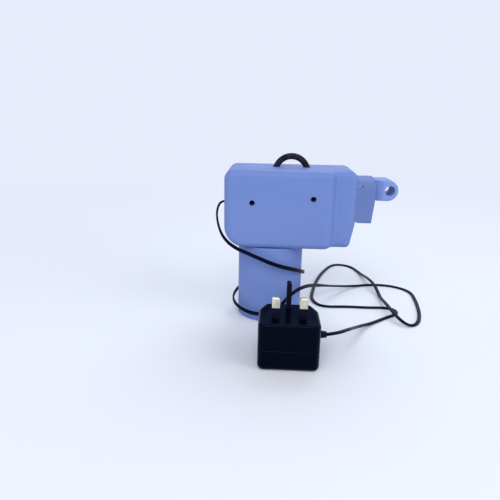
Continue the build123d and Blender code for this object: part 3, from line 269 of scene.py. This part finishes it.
def braided_loop():
    """A braided cord bent round an arch: raised, paler strands that cross over it."""
    low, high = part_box("hanging_loop")
    cord_radius = (high.y - low.y) / 2
    arch_radius = (high.x - low.x) / 2 - cord_radius
    tint = linear(BLACK_SHINE)
    s = Shader("loop_rubber", roughness=0.70, Specular_IOR_Level=0.10, Specular_Tint=tint)
    axes = s.tree.nodes.new("ShaderNodeSeparateXYZ")
    s.link(s.place, axes.inputs["Vector"])
    across = s.computed("SUBTRACT", axes.outputs["X"], (low.x + high.x) / 2)
    depth = s.computed("SUBTRACT", axes.outputs["Y"], (low.y + high.y) / 2)
    rise = s.computed("SUBTRACT", axes.outputs["Z"], high.z - cord_radius - arch_radius)
    squares = s.computed("ADD", s.computed("POWER", across, 2), s.computed("POWER", rise, 2))
    out = s.computed("SUBTRACT", s.computed("SQRT", squares), arch_radius)
    along = s.computed("MULTIPLY", s.computed("ARCTAN2", rise, across), BRAID_TURNS)
    around = s.computed("MULTIPLY", s.computed("ARCTAN2", depth, out), BRAID_STRANDS)
    one_way = s.computed("SINE", s.computed("ADD", along, around))
    other_way = s.computed("SINE", s.computed("SUBTRACT", along, around))
    height = s.computed("ABSOLUTE", s.computed("MULTIPLY", one_way, other_way))
    worn = s.span(s.noise(200.0, detail=3.0, roughness=0.6), NARROW_NOISE, (0.20, 1.0))
    paler = s.computed("MULTIPLY", s.span(height, (0.05, 0.7)), worn)
    s.colour(s.mixed(paler, LOOP_BLACK, LOOP_STRAND))
    s.bumped(height, strength=0.6, distance=0.25 * MM)
    return s.material


def brushed(name, colour, roughness, stretch):
    """Ground or turned metal, with fine marks stretched along one axis."""
    s = Shader(name, roughness, metallic=1.0)
    marks = s.noise(900.0, detail=3.0, roughness=0.6, vector=s.stretched(stretch))
    tarnish = s.noise(120.0, detail=4.0, roughness=0.6)
    s.colour(s.mixed(s.span(tarnish, (0.35, 0.7)), colour, shaded(colour, 0.82)))
    s.rough(s.span(marks, WIDE_NOISE, (roughness - 0.08, roughness + 0.12)))
    s.bumped(marks, strength=0.12, distance=0.03 * MM, edge_radius=0.15 * MM)
    return s.material


def plain_plastic(name, colour, roughness):
    """Plain moulded plastic, a little uneven in tone."""
    s = Shader(name, roughness)
    cloud = s.noise(90.0, detail=3.0)
    s.colour(s.mixed(s.span(cloud, WIDE_NOISE), colour, shaded(colour, 0.93)))
    s.bumped(s.noise(1800.0), strength=0.08, distance=0.05 * MM, edge_radius=0.20 * MM)
    return s.material


# The finish of each slot in the record, and of the nodes that differ from their slot
FINISHES = {
    "body_plastic": shell_plastic("body_plastic", SHELL_BLUE, SHELL_BLUE_DEEP),
    "black_gloss": adaptor_gloss(),
    "black_plastic": black_satin("black_plastic", SATIN_BLACK, roughness=0.42, grain_scale=1500.0),
    "white_plastic": plain_plastic("white_plastic", NATURAL_WHITE, roughness=0.45),
    "cord_rubber": black_satin("cord_rubber", CORD_BLACK, roughness=0.36, grain_scale=1200.0),
    "loop_rubber": braided_loop(),
    "steel": brushed("steel", STEEL_GREY, roughness=0.28, stretch=ALONG_X),
    "motor_steel": brushed("motor_steel", PLATED_GREY, roughness=0.34, stretch=ALONG_Z),
    "aluminium": brushed("aluminium", ALUMINIUM_GREY, roughness=0.32, stretch=ALONG_X),
    "brass": brushed("brass", PIN_METAL, roughness=0.26, stretch=ALONG_Z),
    "bronze": brushed("bronze", BRONZE, roughness=0.40, stretch=ALONG_X),
    "red_lead": plain_plastic("red_lead", LEAD_RED, roughness=0.40),
    "blue_lead": plain_plastic("blue_lead", LEAD_BLUE, roughness=0.40),
}
OWN_FINISHES = {
    "cover_screws": brushed("blacked_steel", BLACKED_STEEL, roughness=0.45, stretch=ALONG_Z),
    # The nose block, and its lip, take a darker copy of the shell plastic: painted shade
    "nose_block": shell_plastic("nose_shaded_plastic", NOSE_SHADE_BLUE, NOSE_SHADE_BLUE_DEEP),
    "needle_eye": shell_plastic("eye_plastic", EYE_BLUE, EYE_BLUE_DEEP),
}


def dress_nodes():
    """Each CAD node gets a finish of its own or, where it has none, that of its slot."""
    for row in RECORD["subparts"]:
        materials = NODES[row["node"]].data.materials
        materials.clear()
        materials.append(OWN_FINISHES.get(row["node"], FINISHES[row["material_slot"]]))


def add_piece(name, mesh, material):
    """An object made from a bmesh, in the scene, with one material."""
    data = bpy.data.meshes.new(name)
    mesh.to_mesh(data)
    mesh.free()
    data.materials.append(material)
    piece = bpy.data.objects.new(name, data)
    bpy.context.scene.collection.objects.link(piece)
    return piece


def bridge(mesh, first, second):
    """A band of four-sided faces between two rings of points."""
    count = len(first)
    for i in range(count):
        j = (i + 1) % count
        mesh.faces.new((first[i], first[j], second[j], second[i]))


# Power cord: a slim flat twin flex. Its route is in millimetres. The line stays within 4 mm of
# the CAD tube's middle, follows the photograph a little closer, and lies lower on the surface.
CORD_STRAND_RADIUS = 1.0 * MM
CORD_STRAND_OFFSET = 0.9 * MM
STRAND_STEPS = 10
SPLINE_STEPS = 14
ON_FLOOR = 1.05
CORD_ROUTE = [
    (-46.5, 0, 114),
    (-51.3, 0, 113.5),
    (-54.4, -4, 104),
    (-52.6, -10, 93.5),
    (-47.5, -17, 82.5),
    (-36.5, -27.5, 75),
    (-17, -37, 70),
    (6, -39.5, 61.2),
    (27.5, -27, 53),
    (36.5, -2, 42.8),
    (29.5, 23, 36.5),
    (10.5, 36, 30),
    (-14, 34.5, 24),
    (-32.5, 18.5, 18.5),
    (-39, -4.5, 13.5),
    (-29.5, -26, 11),
    (-10, -36, 8.5),
    (9, -38, 17),
    (21, -32, 30.5),
    (34.5, -17, 33.3),
    (50, 14, 23.3),
    (72, 48, 9.8),
    (99, 73, ON_FLOOR),
    (124, 81, ON_FLOOR),
    (147, 78, ON_FLOOR),
    (164, 62, ON_FLOOR),
    (162.2, 34, ON_FLOOR),
    (158, 6, ON_FLOOR),
    (153, -12.5, ON_FLOOR),
    (148, -24.5, ON_FLOOR),
    (141.3, -31.5, ON_FLOOR),
    (133.5, -31, 3),
    (128, -23.5, 6),
    (124.7, -10, 7.8),
    (122.7, 9, 7.8),
    (123.3, 33, 3.4),
    (124, 48, 3.4),
    (122, 63.5, 7.8),
    (118.8, 83.5, 7.8),
    (116, 119, ON_FLOOR),
    (108, 149, ON_FLOOR),
    (86, 156, ON_FLOOR),
    (70, 126, ON_FLOOR),
    (57.2, 88, ON_FLOOR),
    (50.3, 55, ON_FLOOR),
    (46, 27, ON_FLOOR),
    (56, 8, ON_FLOOR),
    (82, 11, ON_FLOOR),
    (105, 10, ON_FLOOR),
    (121, 11.5, ON_FLOOR),
    (130.5, 9, ON_FLOOR),
    (134, 1, ON_FLOOR),
    (129, -7, ON_FLOOR),
    (117, -16, ON_FLOOR),
    (103, -28, ON_FLOOR),
    (90, -42, 4.5),
    (79, -62, 11.5),
    (69, -86, 21),
    (58, -99, 23.6),
    (48.7, -100, 22.5),
]

# Where the flex is wound round the handle, and how often its facing is evened out
WRAP_RADIUS = 62 * MM
WRAP_BOTTOM = 7 * MM
FACING_ROUNDS = 60


def along_spline(points):
    """The points of a smooth NURBS line through space that has these control points."""
    curve = bpy.data.curves.new("route", "CURVE")
    curve.dimensions = "3D"
    curve.resolution_u = SPLINE_STEPS
    spline = curve.splines.new("NURBS")
    spline.points.add(len(points) - 1)
    for point, place in zip(spline.points, points):
        point.co = (*[c * MM for c in place], 1.0)
    spline.order_u = 3
    spline.use_endpoint_u = True
    guide = bpy.data.objects.new("route", curve)
    line = bpy.data.meshes.new_from_object(guide)
    path = [v.co.copy() for v in line.vertices]
    bpy.data.objects.remove(guide)
    return path


def tangents(path):
    """The direction of a path at each of its points."""
    before, after = path[:1] + path[:-1], path[1:] + path[-1:]
    return [(b - a).normalized() for a, b in zip(before, after)]


def flat_directions(path):
    """Which way the cord's flat side faces: out from the handle on the turns, and up elsewhere."""
    facing = []
    for p in path:
        out = Vector((p.x, p.y, 0))
        wrapped = out.length < WRAP_RADIUS and p.z > WRAP_BOTTOM
        facing.append(out.normalized() if wrapped else Vector((0, 0, 1)))
    for _ in range(FACING_ROUNDS):
        middle = [(a + 2 * b + c) / 4 for a, b, c in zip(facing, facing[1:], facing[2:])]
        facing = facing[:1] + middle + facing[-1:]
    return [(f - f.dot(t) * t).normalized() for f, t in zip(facing, tangents(path))]


def twin_section():
    """The outline of two round strands side by side, as (across, out) pairs."""
    neck = math.pi - math.acos(CORD_STRAND_OFFSET / CORD_STRAND_RADIUS)
    outline = []
    for side in (1, -1):
        for i in range(STRAND_STEPS):
            angle = -neck + 2 * neck * i / STRAND_STEPS
            across = CORD_STRAND_OFFSET + CORD_STRAND_RADIUS * math.cos(angle)
            outline.append((side * across, side * CORD_STRAND_RADIUS * math.sin(angle)))
    return outline


def swept_mesh(path, facing, outline):
    """A closed bmesh with one outline carried along a path."""
    mesh = bmesh.new()
    rings = []
    for p, out, along in zip(path, facing, tangents(path)):
        across = along.cross(out)
        rings.append([mesh.verts.new(p + across * a + out * b) for a, b in outline])
    for first, second in zip(rings, rings[1:]):
        bridge(mesh, first, second)
    mesh.faces.new(rings[0][::-1])
    mesh.faces.new(rings[-1])
    bmesh.ops.recalc_face_normals(mesh, faces=mesh.faces)
    for face in mesh.faces:
        face.smooth = len(face.verts) == 4
    return mesh


def make_cord():
    """The flex from the grommet to the adaptor, with the adaptor on its end."""
    path = along_spline(CORD_ROUTE)
    mesh = swept_mesh(path, flat_directions(path), twin_section())
    cord = add_piece("twin_flex", mesh, FINISHES["cord_rubber"])
    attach(cord, "root")
    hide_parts("power_cord")


# Lip of the nose block: closes the groove between its front edge and the head's round end.
# The rays that find the block's edge start at a distance, just in front of the edge's plane.
LIP_SECTIONS = 44
LIP_TOP_ANGLE = math.radians(139)
LIP_BOTTOM_GAP = 0.7 * MM
LIP_DEPTH = 1.5 * MM
LIP_RAY_START = 60 * MM
LIP_RAY_INSET = 0.05 * MM


def head_side(point):
    """Where a line from a point on the block, back along the head, meets the front shell."""
    _, place, _, _ = NODES["front_shell"].ray_cast(point, Vector((-1, 0, 0)))
    return place


def make_nose_lip():
    """A strip down the block's front side, back to where it meets the shell."""
    nose = NODES["nose_block"]
    low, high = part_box("nose_block")
    centre = Vector((low.x, 0, (low.z + high.z) / 2))
    bottom_angle = math.pi + math.atan2(centre.z - low.z - LIP_BOTTOM_GAP, high.y)
    mesh = bmesh.new()
    sections = []
    for i in range(LIP_SECTIONS + 1):
        angle = LIP_TOP_ANGLE + (bottom_angle - LIP_TOP_ANGLE) * i / LIP_SECTIONS
        outward = Vector((0, math.cos(angle), math.sin(angle)))
        start = centre + outward * LIP_RAY_START + Vector((LIP_RAY_INSET, 0, 0))
        _, edge, normal, _ = nose.ray_cast(start, -outward)
        edge.x = low.x
        inner = edge - normal * LIP_DEPTH
        corners = (edge, head_side(edge), head_side(inner), inner)
        sections.append([mesh.verts.new(corner) for corner in corners])
    for first, second in zip(sections, sections[1:]):
        bridge(mesh, first, second)
    mesh.faces.new(sections[0])
    mesh.faces.new(sections[-1][::-1])
    bmesh.ops.recalc_face_normals(mesh, faces=mesh.faces)
    # The lip takes the nose block's darker plastic, with its painted shade
    lip = add_piece("nose_lip", mesh, OWN_FINISHES["nose_block"])
    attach(lip, "root")


# Rocker marks: a raised bar and ring, as on any power switch
MARK_STEPS = 24
MARK_STROKE = 0.5 * MM
MARK_HALF_WIDTH = 0.95 * MM
MARK_HALF_HEIGHT = 1.15 * MM
MARK_RISE = 0.06 * MM
MARK_OFFSET = 2.5 * MM
MARK_RAY_START = 2.5 * MM


def rounded_outline(half_width, half_height):
    """An upright outline with round ends, as (across, up) pairs."""
    straight = half_height - half_width
    outline = []
    for i in range(MARK_STEPS):
        angle = 2 * math.pi * (i + 0.5) / MARK_STEPS
        up = half_width * math.sin(angle)
        outline.append((half_width * math.cos(angle), up + math.copysign(straight, up)))
    return outline


def raise_mark(mesh, place, outer, inner):
    """A thin raised form inside one outline and, if there is another, outside that."""
    rings = []
    for outline in filter(None, (outer, inner)):
        for height in (-MARK_RISE, MARK_RISE):
            rings.append([mesh.verts.new(place @ Vector((*point, height))) for point in outline])
    bridge(mesh, rings[0], rings[1])
    if inner:
        bridge(mesh, rings[1], rings[3])
        bridge(mesh, rings[3], rings[2])
        bridge(mesh, rings[2], rings[0])
    else:
        mesh.faces.new(rings[0])
        mesh.faces.new(rings[1])


def make_rocker_marks():
    """The bar on the rocker's upper half and the ring on its lower one."""
    rocker = NODES["switch_rocker"]
    low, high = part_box("switch_rocker")
    middle = (low + high) / 2
    bar = rounded_outline(MARK_STROKE / 2, MARK_HALF_HEIGHT)
    ring = rounded_outline(MARK_HALF_WIDTH, MARK_HALF_HEIGHT)
    ring_inside = rounded_outline(MARK_HALF_WIDTH - MARK_STROKE, MARK_HALF_HEIGHT - MARK_STROKE)
    mesh = bmesh.new()
    for offset, outer, inner in ((MARK_OFFSET, bar, None), (-MARK_OFFSET, ring, ring_inside)):
        start = Vector((middle.x, high.y + MARK_RAY_START, middle.z + offset))
        _, place, normal, _ = rocker.ray_cast(start, Vector((0, -1, 0)))
        turn = normal.to_track_quat("Z", "Y").to_matrix().to_4x4()
        raise_mark(mesh, Matrix.Translation(place) @ turn, outer, inner)
    bmesh.ops.recalc_face_normals(mesh, faces=mesh.faces)
    marks = add_piece("rocker_marks", mesh, FINISHES["white_plastic"])
    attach(marks, "rocker")


# Studio: a pale floor that fades into the background between two distances, and soft light
FLOOR_RADIUS = 6.0
FLOOR_SEGMENTS = 64
FADE_DISTANCES = (0.18, 1.10)
AMBIENT_STRENGTH = 0.52

# Each lamp's name, place, target, size, power in watts and colour
LAMPS = (
    ("key", (-0.40, -2.10, 2.00), (0.03, -0.02, 0.08), 2.2, 42.0, (1.0, 0.99, 0.97)),
    ("fill", (1.80, -1.05, 1.45), (0.03, 0.0, 0.08), 1.9, 17.0, (0.96, 0.98, 1.0)),
    ("back", (0.50, 1.80, 2.00), (0.03, 0.0, 0.08), 1.7, 22.0, (0.87, 0.94, 1.0)),
)


def floor_finish():
    """A pale matt floor that turns into the background's white as it gets further away."""
    s = Shader("studio_floor", roughness=0.55, Specular_IOR_Level=0.2)
    s.colour(s.mixed(s.span(s.noise(3.0), WIDE_NOISE), FLOOR_WHITE, shaded(FLOOR_WHITE, 0.99)))
    distance = s.tree.nodes.new("ShaderNodeVectorMath")
    distance.operation = "LENGTH"
    s.link(s.place, distance.inputs[0])
    fade = s.span(distance.outputs["Value"], FADE_DISTANCES)
    fade.node.interpolation_type = "SMOOTHSTEP"
    glow = s.tree.nodes.new("ShaderNodeEmission")
    glow.inputs["Color"].default_value = linear(STUDIO_WHITE)
    blend = s.tree.nodes.new("ShaderNodeMixShader")
    s.link(fade, blend.inputs["Fac"])
    s.link(s.surface.outputs["BSDF"], blend.inputs[1])
    s.link(glow.outputs["Emission"], blend.inputs[2])
    s.link(blend.outputs["Shader"], s.tree.nodes["Material Output"].inputs["Surface"])
    return s.material


def make_floor():
    """The surface that everything stands on."""
    mesh = bmesh.new()
    bmesh.ops.create_circle(mesh, cap_ends=True, segments=FLOOR_SEGMENTS, radius=FLOOR_RADIUS)
    add_piece("floor", mesh, floor_finish())


def make_world():
    """A white background for the camera and in reflections, which lights at a lower strength."""
    world = bpy.data.worlds.new("studio")
    bpy.context.scene.world = world
    world.use_nodes = True
    tree = world.node_tree
    background = tree.nodes["Background"]
    background.inputs["Color"].default_value = linear(STUDIO_WHITE)
    rays = tree.nodes.new("ShaderNodeLightPath")
    seen = rays.outputs["Is Camera Ray"]
    for ray in ("Is Glossy Ray", "Is Transmission Ray"):
        either = tree.nodes.new("ShaderNodeMath")
        either.operation = "MAXIMUM"
        tree.links.new(seen, either.inputs[0])
        tree.links.new(rays.outputs[ray], either.inputs[1])
        seen = either.outputs["Value"]
    level = tree.nodes.new("ShaderNodeMapRange")
    level.inputs["To Min"].default_value = AMBIENT_STRENGTH
    level.inputs["To Max"].default_value = 1.0
    tree.links.new(seen, level.inputs["Value"])
    tree.links.new(level.outputs["Result"], background.inputs["Strength"])


def make_lamp(name, place, target, size, power, colour):
    """A round soft lamp that faces its target."""
    light = bpy.data.lights.new(name, "AREA")
    light.shape = "DISK"
    light.size = size
    light.energy = power
    light.color = colour
    lamp = bpy.data.objects.new(name, light)
    lamp.location = place
    lamp.rotation_euler = (Vector(target) - Vector(place)).to_track_quat("-Z", "Y").to_euler()
    bpy.context.scene.collection.objects.link(lamp)


def make_camera():
    """The camera that shows the frame of the photograph."""
    data = bpy.data.cameras.new("camera")
    data.sensor_width = SENSOR_WIDTH
    data.lens = FOCAL_PIXELS * SENSOR_WIDTH / PHOTO_PIXELS
    data.clip_start = CLIP_NEAR
    data.clip_end = CLIP_FAR
    cos_p, sin_p = math.cos(CAMERA_PITCH), math.sin(CAMERA_PITCH)
    forward = Vector((math.sin(CAMERA_YAW) * cos_p, math.cos(CAMERA_YAW) * cos_p, -sin_p))
    level_right = Vector((math.cos(CAMERA_YAW), -math.sin(CAMERA_YAW), 0))
    level_up = level_right.cross(forward)
    cos_r, sin_r = math.cos(CAMERA_ROLL), math.sin(CAMERA_ROLL)
    right = level_right * cos_r + level_up * sin_r
    up = level_up * cos_r - level_right * sin_r
    turn = Matrix((right, up, -forward)).transposed()
    camera = bpy.data.objects.new("camera", data)
    camera.matrix_world = Matrix.Translation(CAMERA_PLACE) @ turn.to_4x4()
    bpy.context.scene.collection.objects.link(camera)
    bpy.context.scene.camera = camera


dress_nodes()
make_cord()
make_nose_lip()
make_rocker_marks()
make_floor()
make_world()
for lamp in LAMPS:
    make_lamp(*lamp)
make_camera()
bpy.context.scene.view_settings.view_transform = "Standard"
